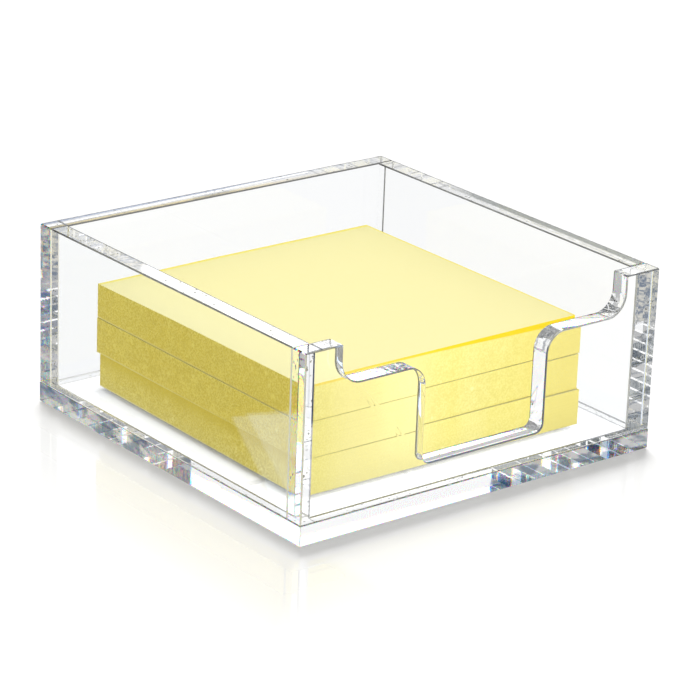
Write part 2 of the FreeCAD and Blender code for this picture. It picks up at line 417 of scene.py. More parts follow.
def node(tree, kind, inputs=None, **settings):
    made = tree.nodes.new(kind)
    for key, value in settings.items():
        setattr(made, key, value)
    for key, value in (inputs or {}).items():
        give(tree, made.inputs[key], value)
    return made


def put_out(tree, shader, target="ALL"):
    """Makes a shader the surface."""
    return node(tree, "ShaderNodeOutputMaterial", {"Surface": shader}, target=target)


def maths(tree, operation, *values):
    return node(tree, "ShaderNodeMath", dict(enumerate(values)), operation=operation).outputs[0]


def product(tree, *values):
    """All the values multiplied together."""
    total = values[0]
    for value in values[1:]:
        total = maths(tree, "MULTIPLY", total, value)
    return total


def less(tree, a, b):
    return maths(tree, "SUBTRACT", a, b)


def larger(tree, a, b):
    return maths(tree, "MAXIMUM", a, b)


def smaller(tree, a, b):
    return maths(tree, "MINIMUM", a, b)


def unsigned(tree, value):
    return maths(tree, "ABSOLUTE", value)


def above(tree, value, limit):
    """1 where the value is above the limit."""
    return maths(tree, "GREATER_THAN", value, limit)


def below(tree, value, limit):
    return maths(tree, "LESS_THAN", value, limit)


def near(tree, value, middle, reach):
    """1 where the value is within reach of the middle."""
    return maths(tree, "COMPARE", value, middle, reach)


def ramp(tree, value, low, high, out_low=0.0, out_high=1.0):
    """A smooth step of a value from low to high."""
    return node(tree, "ShaderNodeMapRange", {
        "Value": value,
        "From Min": low,
        "From Max": high,
        "To Min": out_low,
        "To Max": out_high,
    }, interpolation_type="SMOOTHSTEP").outputs["Result"]


def mix_value(tree, factor, a, b):
    return node(tree, "ShaderNodeMix", {0: factor, 2: a, 3: b}).outputs[0]


def mix_colour(tree, factor, a, b, blend="MIX"):
    inputs = {0: factor, 6: a, 7: b}
    return node(tree, "ShaderNodeMix", inputs, data_type="RGBA", blend_type=blend).outputs[2]


def mix_shader(tree, factor, a, b):
    return node(tree, "ShaderNodeMixShader", {0: factor, 1: a, 2: b}).outputs[0]


def glowing(tree, colour, strength=1.0):
    return node(tree, "ShaderNodeEmission", {"Color": colour, "Strength": strength}).outputs[0]


def grey(level):
    return (level, level, level, 1.0)


def object_place(tree):
    """Where a point lies, in the frame."""
    return node(tree, "ShaderNodeTexCoord").outputs["Object"]


def parts(tree, vector):
    """The x, y and z of a place or a direction."""
    return node(tree, "ShaderNodeSeparateXYZ", {"Vector": vector}).outputs


def scaled(tree, vector, by):
    """A place or a direction, its x, y and z each times a number."""
    return node(tree, "ShaderNodeVectorMath", {0: vector, 1: by}, operation="MULTIPLY").outputs[0]


def noise(tree, place, scale, detail):
    inputs = {"Vector": place, "Scale": scale, "Detail": detail}
    return node(tree, "ShaderNodeTexNoise", inputs).outputs["Fac"]


def path(tree, name):
    """What the light path node says by that name."""
    return node(tree, "ShaderNodeLightPath").outputs[name]


def new_group(name, inputs, outputs):
    """An empty node group: its tree, and the sockets it is given and puts out, by name."""
    tree = bpy.data.node_groups.new(name, "ShaderNodeTree")
    for way, sockets in (("INPUT", inputs), ("OUTPUT", outputs)):
        for label, kind in sockets:
            tree.interface.new_socket(name=label, in_out=way, socket_type="NodeSocket" + kind)
    return tree, node(tree, "NodeGroupInput").outputs, node(tree, "NodeGroupOutput").inputs


def placed(tree, group, **values):
    """A group placed in a material with its own values, named like its sockets."""
    inputs = {key.replace("_", " ").title(): value for key, value in values.items()}
    return node(tree, "ShaderNodeGroup", inputs, node_tree=group).outputs[0]


# ---------------------------------------------------------------- node groups

def polish_waves_group():
    """The faint waves that sawing and polishing leave: level ones on the upright edges, upright ones on the
    base."""
    inputs = (("Place", "Vector"), ("Base Top", "Float"))
    tree, given, taken = new_group("polish_waves", inputs, (("Height", "Float"),))
    on_base = below(tree, parts(tree, given["Place"])["Z"], given["Base Top"])
    level = (WAVES_ACROSS, WAVES_ACROSS, WAVES_ALONG, 1.0)
    upright = (WAVES_ALONG, WAVES_ALONG, WAVES_ACROSS, 1.0)
    per_metre = mix_colour(tree, on_base, level, upright)
    waves = noise(tree, scaled(tree, given["Place"], per_metre), 1.0, 2.0)
    tree.links.new(waves, taken["Height"])
    return tree


def spots_group():
    """Round spots: 1 inside a spot, in that share of the pattern's cells."""
    inputs = (("Place", "Vector"), ("Scale", "Float"), ("Size", "Float"), ("Share", "Float"))
    tree, given, taken = new_group("spots", inputs, (("Mask", "Float"),))
    cells = node(tree, "ShaderNodeTexVoronoi", {"Vector": given["Place"], "Scale": given["Scale"]})
    core = product(tree, given["Size"], SPOT_CORE)
    inside = ramp(tree, cells.outputs["Distance"], given["Size"], core)
    chosen = node(tree, "ShaderNodeSeparateColor", {"Color": cells.outputs["Color"]}).outputs[0]
    mask = product(tree, inside, below(tree, chosen, given["Share"]))
    tree.links.new(mask, taken["Mask"])
    return tree


# ---------------------------------------------------------------- acrylic materials

def plain_acrylic(tree):
    return node(tree, "ShaderNodeBsdfPrincipled", {
        "Base Color": ACRYLIC_TINT,
        "Roughness": 0.0,
        "IOR": ACRYLIC_IOR,
        "Transmission Weight": 1.0,
    })


def polished_normal(tree, waves):
    """The normal of an edge with its polishing waves."""
    return node(tree, "ShaderNodeBump", {
        "Height": placed(tree, waves, place=object_place(tree), base_top=BASE_TOP),
        "Strength": 1.0,
        "Distance": POLISH_DEPTH,
    }).outputs["Normal"]


def acrylic_material():
    """The cast faces of the sheet, as smooth as glass."""
    material = new_material("clear_acrylic")
    tree = material.node_tree
    put_out(tree, plain_acrylic(tree).outputs[0])
    return material


def outer_reflection_clouds(tree, x, y, z):
    """1 in the slanting clouds of painted dark reflection in the outer edges, which leave the front left
    corner clear.
    """
    slanted = maths(tree, "MULTIPLY_ADD", z, CLOUD_SLANT, less(tree, x, y))
    at = node(tree, "ShaderNodeCombineXYZ", {
        "X": product(tree, slanted, CLOUDS_ALONG),
        "Y": product(tree, z, CLOUDS_ACROSS),
    }).outputs[0]
    clouds = ramp(tree, noise(tree, at, 1.0, 3.0), *CLOUD_LIMITS)
    fainter = ramp(tree, z, BASE_TOP, BASE_TOP + 1 * MM, 1.0, CLOUDS_UPRIGHT)
    off_corner = ramp(tree, maths(tree, "ADD", x, y), *CLOUDS_START)
    outer = above(tree, larger(tree, unsigned(tree, x), unsigned(tree, y)), TRAY_HIGH.x - ARRIS)
    return product(tree, clouds, fainter, off_corner, outer)


def edge_tint(tree):
    """The tint of the edges: clear, but for grey clouds of painted dark reflection, a mottled patch on the
    cut-out's left shelf, and a dark line of painted shade along the cut-out's far edge."""
    place = object_place(tree)
    x, y, z = parts(tree, place)
    tint = mix_colour(tree, outer_reflection_clouds(tree, x, y, z), WHITE, CLOUD_REFLECTION)
    mottle = ramp(tree, noise(tree, place, SHELF_MOTTLE, 3.0), *SHELF_LIMITS)
    on_front = product(tree, above(tree, z, CUT_MIDDLE), below(tree, y, -INNER))
    patch = product(tree, mottle, near(tree, x, *SHELF_PATCH), on_front)
    tint = mix_colour(tree, patch, tint, SHELF_GREY)
    # a dark line of painted shade along the cut-out's far edge
    line = above(tree, y, -INNER - ARRIS - CUT_LINE)
    in_cut_out = product(tree, below(tree, unsigned(tree, x), CUT_HALF), above(tree, z, CUT_FLOOR))
    return mix_colour(tree, product(tree, line, in_cut_out), tint, FAR_EDGE_SHADE)


def edge_material(waves):
    """The sawn and polished edges: light that enters here is led far along, so it is split into colours."""
    material = new_material("polished_edge")
    tree = material.node_tree
    shader = plain_acrylic(tree)
    normal = polished_normal(tree, waves)
    tree.links.new(normal, shader.inputs["Normal"])
    everywhere = put_out(tree, shader.outputs[0])
    within = edge_tint(tree)
    split = None
    for tint, bend in COLOUR_SPLIT:
        one = node(tree, "ShaderNodeBsdfGlass", {
            "Color": mix_colour(tree, 1.0, within, tint, "MULTIPLY"),
            "Roughness": 0.0,
            "IOR": bend,
            "Normal": normal,
        }).outputs[0]
        split = one if split is None else node(tree, "ShaderNodeAddShader", {0: split, 1: one}).outputs[0]
    first = path(tree, "Is Camera Ray")
    put_out(tree, mix_shader(tree, first, shader.outputs[0], split), "CYCLES")
    everywhere.is_active_output = True
    return material


def rim_material(waves):
    """The top edges, polished but a little wavy, seen nearly edge on, with painted reflection tints."""
    material = new_material("polished_rim")
    tree = material.node_tree
    x, y = parts(tree, object_place(tree))[:2]
    # the rear rim's painted reflections: blue outside, warm inside, white along the middle, fading out
    # to the right
    out = less(tree, y, RIM_MIDDLE)
    rear = mix_colour(tree, ramp(tree, out, *BLUE_HALF), WHITE, REAR_RIM_BLUE)
    rear = mix_colour(tree, ramp(tree, out, *WARM_HALF), rear, REAR_RIM_WARM)
    share = product(tree, ramp(tree, x, *REAR_FADE), ramp(tree, y, INNER - ARRIS, INNER + ARRIS))
    tint = mix_colour(tree, share, WHITE, rear)
    # the right rim's painted grey reflection outside, fading out to the rear
    right = mix_colour(tree, ramp(tree, less(tree, x, RIM_MIDDLE), *GREY_HALF), WHITE, RIGHT_RIM_GREY)
    share = product(tree, ramp(tree, x, INNER - ARRIS, INNER + ARRIS), ramp(tree, y, *RIGHT_FADE),
                    above(tree, y, -INNER))
    tint = mix_colour(tree, share, tint, right)
    # the dark line of painted shade along the far edge of each rim
    line = above(tree, larger(tree, x, y), TRAY_HIGH.x - ARRIS - RIM_LINE)
    for across in (x, y):
        line = larger(tree, line, near(tree, across, -INNER - ARRIS, RIM_LINE))
    tint = mix_colour(tree, line, tint, FAR_EDGE_SHADE)
    shader = plain_acrylic(tree)
    tree.links.new(tint, shader.inputs["Base Color"])
    tree.links.new(polished_normal(tree, waves), shader.inputs["Normal"])
    put_out(tree, shader.outputs[0])
    return material


def painted_arris_tones(tree):
    """The painted tones of the arrises: highlights on the upright ones and shade on the level ones."""
    x, y, z = parts(tree, object_place(tree))
    level = mix_colour(tree, ramp(tree, y, 0.5 * INNER, INNER), ARRIS_LEVEL, ARRIS_REAR)
    # painted shade, darker along the cut-out, but for its right hand step
    cut_out = product(tree, near(tree, z, CUT_MIDDLE, CUT_MIDDLE - CUT_FLOOR),
                      below(tree, unsigned(tree, x), CUT_HALF))
    left_part = below(tree, x, NOTCH_HALF + 2 * ARRIS)
    cut_tone = mix_colour(tree, left_part, ARRIS_STEP, ARRIS_CUT)
    level = mix_colour(tree, cut_out, level, cut_tone)
    # a painted white highlight on the walls' feet at the rear left and, outside, away from the front
    # left corner
    foot = near(tree, z, BASE_TOP + 0.5 * ARRIS, 0.5 * ARRIS)
    outside = below(tree, smaller(tree, x, y), TRAY_LOW.x + 2 * ARRIS)
    rear_left = above(tree, less(tree, y, x), FOOT_REAR_LEFT)
    off_corner = above(tree, maths(tree, "ADD", x, y), FOOT_FROM_LEFT)
    foot_highlight = product(tree, foot, larger(tree, outside, rear_left), off_corner)
    level = mix_colour(tree, foot_highlight, level, ARRIS_UPRIGHT)
    # painted shade on the rear right corner's joint
    behind = above(tree, smaller(tree, x, y), INNER - ARRIS)
    upright = mix_colour(tree, behind, ARRIS_UPRIGHT, ARRIS_REAR)
    upright = mix_colour(tree, cut_out, upright, cut_tone)
    # the front right corner: a painted bluish white highlight on its seam and painted shade on its outer
    # edge
    end = less(tree, x, y)
    for reach, tone in ((TRAY_HIGH.x + INNER, ARRIS_SEAM), (2 * TRAY_HIGH.x, ARRIS_CUT)):
        upright = mix_colour(tree, above(tree, end, reach - 3 * ARRIS), upright, tone)
    return upright, level


def arris_material():
    """The narrow scraped arris along every sheet: frosted, with painted shade where it lies level and a
    painted highlight where it is upright."""
    material = new_material("scraped_arris_painted_lines")
    tree = material.node_tree
    within = plain_acrylic(tree).outputs[0]
    everywhere = put_out(tree, within)
    normal = node(tree, "ShaderNodeNewGeometry").outputs["Normal"]
    slope = unsigned(tree, parts(tree, normal)["Z"])
    upright, level = painted_arris_tones(tree)
    scraped = node(tree, "ShaderNodeBsdfPrincipled", {
        "Base Color": mix_colour(tree, ramp(tree, slope, *ARRIS_TURN), upright, level),
        "Roughness": ARRIS_ROUGHNESS,
        "IOR": ACRYLIC_IOR,
        "Transmission Weight": ARRIS_FROST,
    }).outputs[0]
    # light that has been led along inside the sheet passes it as if it were polished
    led = above(tree, path(tree, "Glossy Depth"), ONCE)
    put_out(tree, mix_shader(tree, led, scraped, within), "CYCLES")
    everywhere.is_active_output = True
    return material


def cement_material(spots):
    """The cemented face between two sheets: the cement fills it but for small bubbles, so light goes
    straight on."""
    material = new_material("clear_cement")
    tree = material.node_tree
    place = object_place(tree)
    x, y, z = parts(tree, place)
    # bubbles in patches, but none in the rear right joint
    patches = ramp(tree, noise(tree, place, BUBBLE_PATCHES, 1.0), *PATCH_LIMITS, *PATCH_COVER)
    not_clean = below(tree, smaller(tree, x, y), CLEAN_JOINT)
    bubbles = product(tree, placed(tree, spots, place=place, **BUBBLES), not_clean, patches)
    # the front right joint has level grey streaks in its lower part
    streaks = noise(tree, scaled(tree, place, STREAKS), 1.0, 3.0)
    streaks = ramp(tree, streaks, *STREAK_LIMITS, *STREAK_COVER)
    corner = above(tree, less(tree, x, y), 2 * INNER - 2 * ARRIS)
    streaks = product(tree, streaks, corner, ramp(tree, z, *STREAK_TOP))
    tone = mix_colour(tree, above(tree, streaks, bubbles), BUBBLE, STREAK)
    # the front left joint ends in a blue line, darker lower down
    at_end = near(tree, x, -CEMENTED - JOINT_LINE / 2, JOINT_LINE / 2)
    line = product(tree, at_end, below(tree, y, ARRIS - INNER))
    line_tone = mix_colour(tree, ramp(tree, z, *JOINT_TURN), JOINT_DARK, JOINT_BLUE)
    line_cover = product(tree, line, ramp(tree, z, *JOINT_TURN, *JOINT_COVER))
    shader = node(tree, "ShaderNodeBsdfPrincipled", {
        "Base Color": mix_colour(tree, line, tone, line_tone),
        "Roughness": CEMENT_ROUGHNESS,
        "Alpha": larger(tree, larger(tree, streaks, bubbles), line_cover),
    })
    put_out(tree, shader.outputs[0])
    return material


# ---------------------------------------------------------------- paper

def cut_edge_colour(tree, place, facing, mottle, spots):
    """The pads' cut edges: upright bands, then the fine mottle and the fibres of the sheets, then shade."""
    x, y, z = parts(tree, place)
    bands = noise(tree, scaled(tree, place, PAPER_BANDS), 1.0, 1.0)
    patterns = {"mottle": mottle, "grain": noise(tree, place, PAPER_GRAIN, 2.0)}
    side = mix_colour(tree, ramp(tree, bands, *BAND_LIMITS), EDGE_DEEP, EDGE_PALE)
    front = ramp(tree, facing["Y"], *FRONT_TURN)
    rough = ramp(tree, front, 0.0, 1.0, 1.0, FRONT_SHARE)
    for pattern, limits, share, tone in PAPER_TINTS:
        amount = product(tree, ramp(tree, patterns[pattern], *limits, 0.0, share), rough)
        side = mix_colour(tree, amount, side, tone)
    for tone, values in PAPER_SPOTS:
        side = mix_colour(tree, placed(tree, spots, place=place, **values), side, tone)
    # the front is deeper towards its right end and hazy left of its middle
    deeper = ramp(tree, x, *DEEPER_FRONT, *DEEPER_SHARE)
    side = mix_colour(tree, product(tree, front, deeper), side, EDGE_WARM)
    haze = product(tree, ramp(tree, x, *HAZE_LEFT), ramp(tree, x, *HAZE_RIGHT, *HAZE_SHARE))
    side = mix_colour(tree, product(tree, front, haze), side, EDGE_HAZY)
    # each pad's backing sheet, palest at the rear left
    level = maths(tree, "MODULO", less(tree, z, PAD_FOOT), PAD_THICK)
    backing = ramp(tree, level, *BACKING_THICK)
    rear = ramp(tree, y, *PAD_REACH)
    side = mix_colour(tree, product(tree, backing, rear), side, BACKING)
    # the lowest pad's left side lies in the shade of the pad above it
    shade = ramp(tree, z, *SHADE_RISE, *SHADE_SHARE)
    on_lowest = below(tree, z, PAD_FOOT + PAD_THICK)
    shade = product(tree, shade, on_lowest, below(tree, facing["X"], -0.5))
    side = mix_colour(tree, shade, side, EDGE_SHADE)
    # the top sheets' front edge catches the light, in a band that widens to the right
    wide = ramp(tree, x, *BAND_WIDENS, *BAND_DEPTH)
    depth = less(tree, PAD_TOP, z)
    band = ramp(tree, less(tree, depth, wide), BAND_EDGE, -BAND_EDGE)
    band = product(tree, band, front, ramp(tree, x, *BAND_GROWS, *BAND_SHARE))
    return mix_colour(tree, band, side, BRIGHT_EDGE)


def flat_sheet_colour(tree, place, mottle):
    """The flat sheet, with a deeper line along its right and rear borders."""
    x, y = parts(tree, place)[:2]
    from_right = less(tree, PAD_RIGHT, x)
    from_rear = less(tree, PAD_REAR, y)
    border = smaller(tree, from_right, product(tree, from_rear, 0.5))
    top = mix_colour(tree, ramp(tree, mottle, *SHEET_LIMITS, *SHEET_SHARE), SHEET_PALE, SHEET_WARM)
    return mix_colour(tree, ramp(tree, border, *BORDER_LINE), top, SHEET_BORDER)


def paper_material(spots):
    """Yellow memo paper: pale on the flat sheet, deeper along the cut edges."""
    material = new_material("memo_paper")
    tree = material.node_tree
    place = object_place(tree)
    facing = parts(tree, node(tree, "ShaderNodeNewGeometry").outputs["Normal"])
    mottle = noise(tree, place, PAPER_MOTTLE, 4.0)
    side = cut_edge_colour(tree, place, facing, mottle, spots)
    top = flat_sheet_colour(tree, place, mottle)
    shader = node(tree, "ShaderNodeBsdfPrincipled", {
        "Base Color": mix_colour(tree, ramp(tree, facing["Z"], *FLAT_TURN), side, top),
        "Roughness": PAPER_ROUGHNESS,
        "Specular IOR Level": PAPER_GLOSS,
    })
    put_out(tree, shader.outputs[0])
    return material


# ---------------------------------------------------------------- acrylic sheets

def sheet_copy(name):
    """A merged copy of a packed sheet, its flats made whole, at the same place."""
    piece = bpy.data.objects.new(name + "_clear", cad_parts[name].data.copy())
    bpy.context.scene.collection.objects.link(piece)
    edit(piece)
    bpy.ops.mesh.select_all(action="SELECT")
    bpy.ops.mesh.remove_doubles(threshold=MERGED)
    bpy.ops.mesh.dissolve_limited(angle_limit=math.radians(FLAT_ANGLE))
    done()
    return piece


def base_sheet():
    """The base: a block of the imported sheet's size with every edge finely bevelled."""
    low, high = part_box("base_plate")
    deselect()
    bpy.ops.mesh.primitive_cube_add(size=1, location=(low + high) / 2, scale=high - low)
    piece = bpy.context.object
    piece.name = "base_plate_clear"
    bpy.ops.object.transform_apply(location=True, rotation=True, scale=True)
    edit(piece)
    bpy.ops.mesh.select_all(action="SELECT")
    bpy.ops.mesh.bevel(offset=BASE_ARRIS, segments=1, affect="EDGES")
    done()
    return piece


def faces_down(face):
    return face.normal.z < -SQUARE


def faces_up(face):
    return face.normal.z > SQUARE


def faces_in(face):
    """Of the front or back panel: its inner face, with the arris along its foot."""
    inward = face.normal.y * face.center.y < 0
    return inward and abs(face.normal.x) < RUNNING and face.normal.z < LEANING


def base_joint(face):
    return faces_up(face) and max(abs(face.center.x), abs(face.center.y)) > CEMENTED


def side_joint(face):
    """Of a side wall: its foot, its two ends, and the lower arris of each end, which the cement buries."""
    end = abs(face.normal.y) > SQUARE
    buried = abs(face.normal.y) > LEANING and face.normal.z < -LEANING and abs(face.normal.x) < RUNNING
    return faces_down(face) or end or buried


def cross_joint(face):
    """Of the front or back panel: its foot, and where a side wall butts against it."""
    return faces_down(face) or (faces_in(face) and abs(face.center.x) > CEMENTED)


def surface_of(piece, face):
    """Names the surface a face belongs to, off the cemented ones. The cut-out's right hand roundings are as
    smooth as the sheet."""
    thin = min(range(3), key=lambda axis: piece.dimensions[axis])
    lean = abs(face.normal[thin])
    if lean > FLAT:
        return "face"
    if lean > LEANING:
        return "arris"
    if face.center.x > 0 and abs(face.normal.x) > RUNNING and face.normal.z > RUNNING:
        return "face"
    return "rim" if face.normal.z > SQUARE and face.center.z > RIM_LEVEL else "edge"


def acrylic_sheet(name, cuts, joint, materials):
    piece = base_sheet() if name == "base_plate" else sheet_copy(name)
    for wanted, point, normal in cuts:
        cut(piece, wanted, point, normal)
    piece.data.materials.clear()
    for material in materials.values():
        piece.data.materials.append(material)
    order = list(materials)
    for face in piece.data.polygons:
        face.material_index = order.index("cement" if joint(face) else surface_of(piece, face))
    only(piece)
    bpy.ops.object.shade_smooth_by_angle(angle=math.radians(SMOOTH_ANGLE))
    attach(piece, "holder")
    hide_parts(name)
    return piece


def make_tray(spots):
    waves = polish_waves_group()
    materials = {
        "face": acrylic_material(),
        "edge": edge_material(waves),
        "rim": rim_material(waves),
        "arris": arris_material(),
        "cement": cement_material(spots),
    }
    across = [(side * CEMENTED, 0, 0) for side in (-1, 1)]
    along = [(0, side * CEMENTED, 0) for side in (-1, 1)]
    base_cuts = [(faces_up, at, (1, 0, 0)) for at in across]
    base_cuts += [(faces_up, at, (0, 1, 0)) for at in along]
    sheets = [acrylic_sheet("base_plate", base_cuts, base_joint, materials)]
    cross_cuts = [(faces_in, at, (1, 0, 0)) for at in across]
    for name in ("front_panel", "back_panel"):
        sheets.append(acrylic_sheet(name, cross_cuts, cross_joint, materials))
    for name in ("left_wall", "right_wall"):
        sheets.append(acrylic_sheet(name, [], side_joint, materials))
    return sheets


# ---------------------------------------------------------------- memo pads

def uneven_sides(piece):
    """Lets the cut sides wander in and out by a few hundredths."""
    clouds = bpy.data.textures.new(piece.name + "_waves", "CLOUDS")
    clouds.noise_scale = SIDE_WAVE_LENGTH
    clouds.noise_depth = 2
    for axis in "XY":
        wave = piece.modifiers.new("waves_" + axis.lower(), "DISPLACE")
        wave.texture = clouds
        wave.direction = axis
        wave.strength = SIDE_WAVES
        bpy.ops.object.modifier_apply(modifier=wave.name)


def droop_corner(piece):
    """Presses the rear left corner of the top sheets down a little."""
    bpy.ops.mesh.hide(unselected=True)
    bpy.ops.mesh.select_all(action="DESELECT")
    done()
    shown = [vertex for vertex in piece.data.vertices if not vertex.hide]
    corner = max(shown, key=lambda vertex: vertex.co.y - vertex.co.x)
    corner.select = True
    bpy.ops.object.mode_set(mode="EDIT")
    bpy.ops.mesh.select_mode(type="VERT")
    bpy.ops.transform.translate(value=(0, 0, -CORNER_DROOP), use_proportional_edit=True,
                                proportional_size=DROOP_REACH, proportional_edit_falloff="SMOOTH")
    bpy.ops.mesh.reveal(select=False)


def make_pad(name, body, turn, paper, chance):
    """A pad grown bundle by bundle from its backing sheet, no two bundles quite in line."""
    low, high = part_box(name)
    middle = (low + high) / 2
    deselect()
    bpy.ops.mesh.primitive_grid_add(x_subdivisions=PAD_GRID, y_subdivisions=PAD_GRID,
                                    size=PAD_SIDE - SIDE_WAVES, rotation=(0, 0, math.radians(turn)),
                                    location=(middle.x, middle.y, low.z + PAD_GAP))
    piece = bpy.context.object
    piece.name = name + "_sheets"
    bpy.ops.object.transform_apply(location=True, rotation=True, scale=True)
    edit(piece)
    bpy.ops.mesh.select_all(action="SELECT")
    rise = (high.z - low.z - 2 * PAD_GAP) / BUNDLES
    was = 0.0
    for bundle in range(BUNDLES):
        bpy.ops.mesh.extrude_region_move(TRANSFORM_OT_translate={"value": (0, 0, rise)})
        now = -BACKING_STEP + chance.uniform(-BUNDLE_SHIFT, BUNDLE_SHIFT)
        grow = (PAD_SIDE + now) / (PAD_SIDE + was)
        bpy.ops.transform.resize(value=(grow, grow, 1.0), center_override=(middle.x, middle.y, 0))
        was = now
    if body == "pad_top":
        droop_corner(piece)
    bpy.ops.mesh.select_all(action="SELECT")
    bpy.ops.mesh.normals_make_consistent(inside=False)
    done()
    uneven_sides(piece)
    piece.data.materials.append(paper)
    piece.visible_glossy = False
    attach(piece, body)
    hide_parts(name)
    return piece


def make_pads(spots):
    paper = paper_material(spots)
    chance = random.Random(BUNDLE_SEED)
    return [make_pad(name, body, turn, paper, chance) for name, body, turn in PADS]


# ---------------------------------------------------------------- stage

def light_path(tree):
    """Masks and gains by the way light came.

    scattered: it leaves the paper. mirrored: a surface mirrored it. guided: it was led along inside the
    acrylic. inside: it came through a sheet. seen: gain for what is seen through sheets."""
    way = node(tree, "ShaderNodeLightPath").outputs
    sharp = maths(tree, "ADD", way["Is Camera Ray"], way["Is Glossy Ray"])
    sharp = maths(tree, "ADD", sharp, way["Is Transmission Ray"])
    inside = above(tree, way["Transmission Depth"], ONCE)
    turned = above(tree, way["Glossy Depth"], TWICE)
    seen = maths(tree, "MULTIPLY_ADD", way["Transmission Depth"], SEEN_GAIN, SEEN_BASE)
    return {
        "scattered": larger(tree, above(tree, way["Diffuse Depth"], ONCE), below(tree, sharp, ONCE)),
        "mirrored": above(tree, way["Glossy Depth"], ONCE),
        "guided": product(tree, turned, inside),
        "inside": inside,
        "seen": larger(tree, seen, 1.0),
    }


def gain_of(tree, way_here, front):
    """The gain for light that isn't led along inside the acrylic."""
    extra = ramp(tree, front, 0.0, 1.0, WALLED_GAIN, WALLED_FRONT_GAIN)
    walled = maths(tree, "MULTIPLY_ADD", way_here["inside"], extra, 1.0)
    gain = mix_value(tree, way_here["scattered"], way_here["seen"], walled)
    return mix_value(tree, way_here["guided"], gain, 1.0)


def mottled(tree, pattern, limits, tones):
    """A colour between two tones, by a pattern."""
    return mix_colour(tree, ramp(tree, pattern, *limits), *tones)


def led_light(tree, way):
    """What light that was led along inside the acrylic meets: the white backdrop, or the dark room to the
    left and right of it."""
    x, y, z = parts(tree, way)
    grain = noise(tree, scaled(tree, way, DARK_GRAIN), 1.0, 2.0)
    upward = above(tree, z, 0.0)
    straight_x = ramp(tree, x, -STRAIGHT_EDGE, STRAIGHT_EDGE)
    straight_y = ramp(tree, y, -STRAIGHT_EDGE, STRAIGHT_EDGE)
    dark_right = mottled(tree, grain, MOTTLE_LIMITS, DARK_RIGHT)
    dark_left = mottled(tree, grain, MOTTLE_LIMITS, DARK_LEFT)
    dark_up = mix_colour(tree, straight_x, dark_right, dark_left)
    dark_beside = ramp(tree, grain, *BEHIND_LIMITS, *DARK_BESIDE)
    dark_behind = mottled(tree, grain, BEHIND_LIMITS, DARK_BEHIND)
    dark_down = mix_colour(tree, straight_x, dark_beside, dark_behind)
    dark = mix_colour(tree, upward, dark_down, dark_up)
    bright = mix_colour(tree, upward, grey(BELOW_BACKDROP), grey(ABOVE_BACKDROP))
    # seen past the tray's left end the backdrop is white too
    aside = maths(tree, "DIVIDE", unsigned(tree, x), y)
    past_end = product(tree, ramp(tree, aside, *BACKDROP_END), straight_y)
    straight = larger(tree, product(tree, straight_x, straight_y), past_end)
    return mix_colour(tree, straight, dark, bright)


def make_world():
    world = bpy.data.worlds.new("studio")
    bpy.context.scene.world = world
    world.use_nodes = True
    tree = world.node_tree
    tree.nodes.clear()
    way = node(tree, "ShaderNodeTexCoord").outputs["Generated"]
    x, y = parts(tree, way)[:2]
    way_here = light_path(tree)
    # soft light on the paper: strong from the front, full from the right and above, weak and warm from
    # the left
    front = ramp(tree, y, *FRONT_SIDE)
    soft = mix_colour(tree, front, SOFT_LIGHT, FRONT_LIGHT)
    soft = mix_colour(tree, ramp(tree, x, *LEFT_SIDE), LEFT_LIGHT, soft)
    colour = mix_colour(tree, way_here["guided"], WHITE, led_light(tree, way))
    colour = mix_colour(tree, way_here["scattered"], colour, soft)
    gain = gain_of(tree, way_here, front)
    back = node(tree, "ShaderNodeBackground", {"Color": colour, "Strength": gain})
    node(tree, "ShaderNodeOutputWorld", {"Surface": back.outputs[0]})


def floor_plane(name, z, material):
    deselect()
    bpy.ops.mesh.primitive_plane_add(size=FLOOR_SIZE, location=(0, 0, 0))
    plane = bpy.context.object
    plane.name = name
    plane.data.transform(Matrix.Translation((0, 0, z)))
    plane.data.materials.append(material)
    return plane


def footprint(tree):
    """A floor point's x and y, and how far it lies outside the tray's outline."""
    x, y = parts(tree, object_place(tree))[:2]
    past_side = less(tree, unsigned(tree, x), TRAY_HIGH.x)
    past_end = less(tree, unsigned(tree, y), TRAY_HIGH.y)
    return x, y, larger(tree, past_side, past_end)


def direct_floor_material():
    """The floor as the camera meets it: white, with the tray's shadow and a reflection that fades."""
    material = new_material("white_floor")
    tree = material.node_tree
    x, _, outside = footprint(tree)
    matt = node(tree, "ShaderNodeBsdfDiffuse", {"Color": grey(FLOOR_WHITE)}).outputs[0]
    glow = glowing(tree, grey(FLOOR_GLOW))
    lit = node(tree, "ShaderNodeAddShader", {0: matt, 1: glow}).outputs[0]
    gloss = node(tree, "ShaderNodeBsdfGlossy", {"Color": WHITE, "Roughness": FLOOR_ROUGHNESS}).outputs[0]
    # the polish of the floor: best on the left, fading away from the tray
    most = ramp(tree, x, *POLISH_TURN, POLISH_LEFT, POLISH_FRONT)
    most = larger(tree, most, ramp(tree, x, 0.0, TRAY_HIGH.x, 0.0, POLISH_RIGHT))
    share = mix_value(tree, ramp(tree, outside, 0.0, POLISH_WHOLE), POLISH_UNDER, most)
    share = product(tree, share, ramp(tree, outside, *POLISH_FADE, 1.0, 0.0))
    put_out(tree, mix_shader(tree, share, lit, gloss))
    return material


def painted_veil_corner(tree, x, y):
    """1 on the corner of the glowing patch painted into the floor left of the tray, which the left wall
    mirrors as a painted reflection."""
    x = less(tree, x, VEIL_CORNER[0])
    y = less(tree, y, VEIL_CORNER[1])
    turn = math.radians(VEIL_TURN)
    along = maths(tree, "ADD", product(tree, x, -math.cos(turn)), product(tree, y, -math.sin(turn)))
    over = maths(tree, "ADD", product(tree, x, math.sin(turn)), product(tree, y, -math.cos(turn)))
    return product(tree, ramp(tree, along, -VEIL_EDGE, VEIL_EDGE), ramp(tree, over, -VEIL_EDGE, VEIL_EDGE))


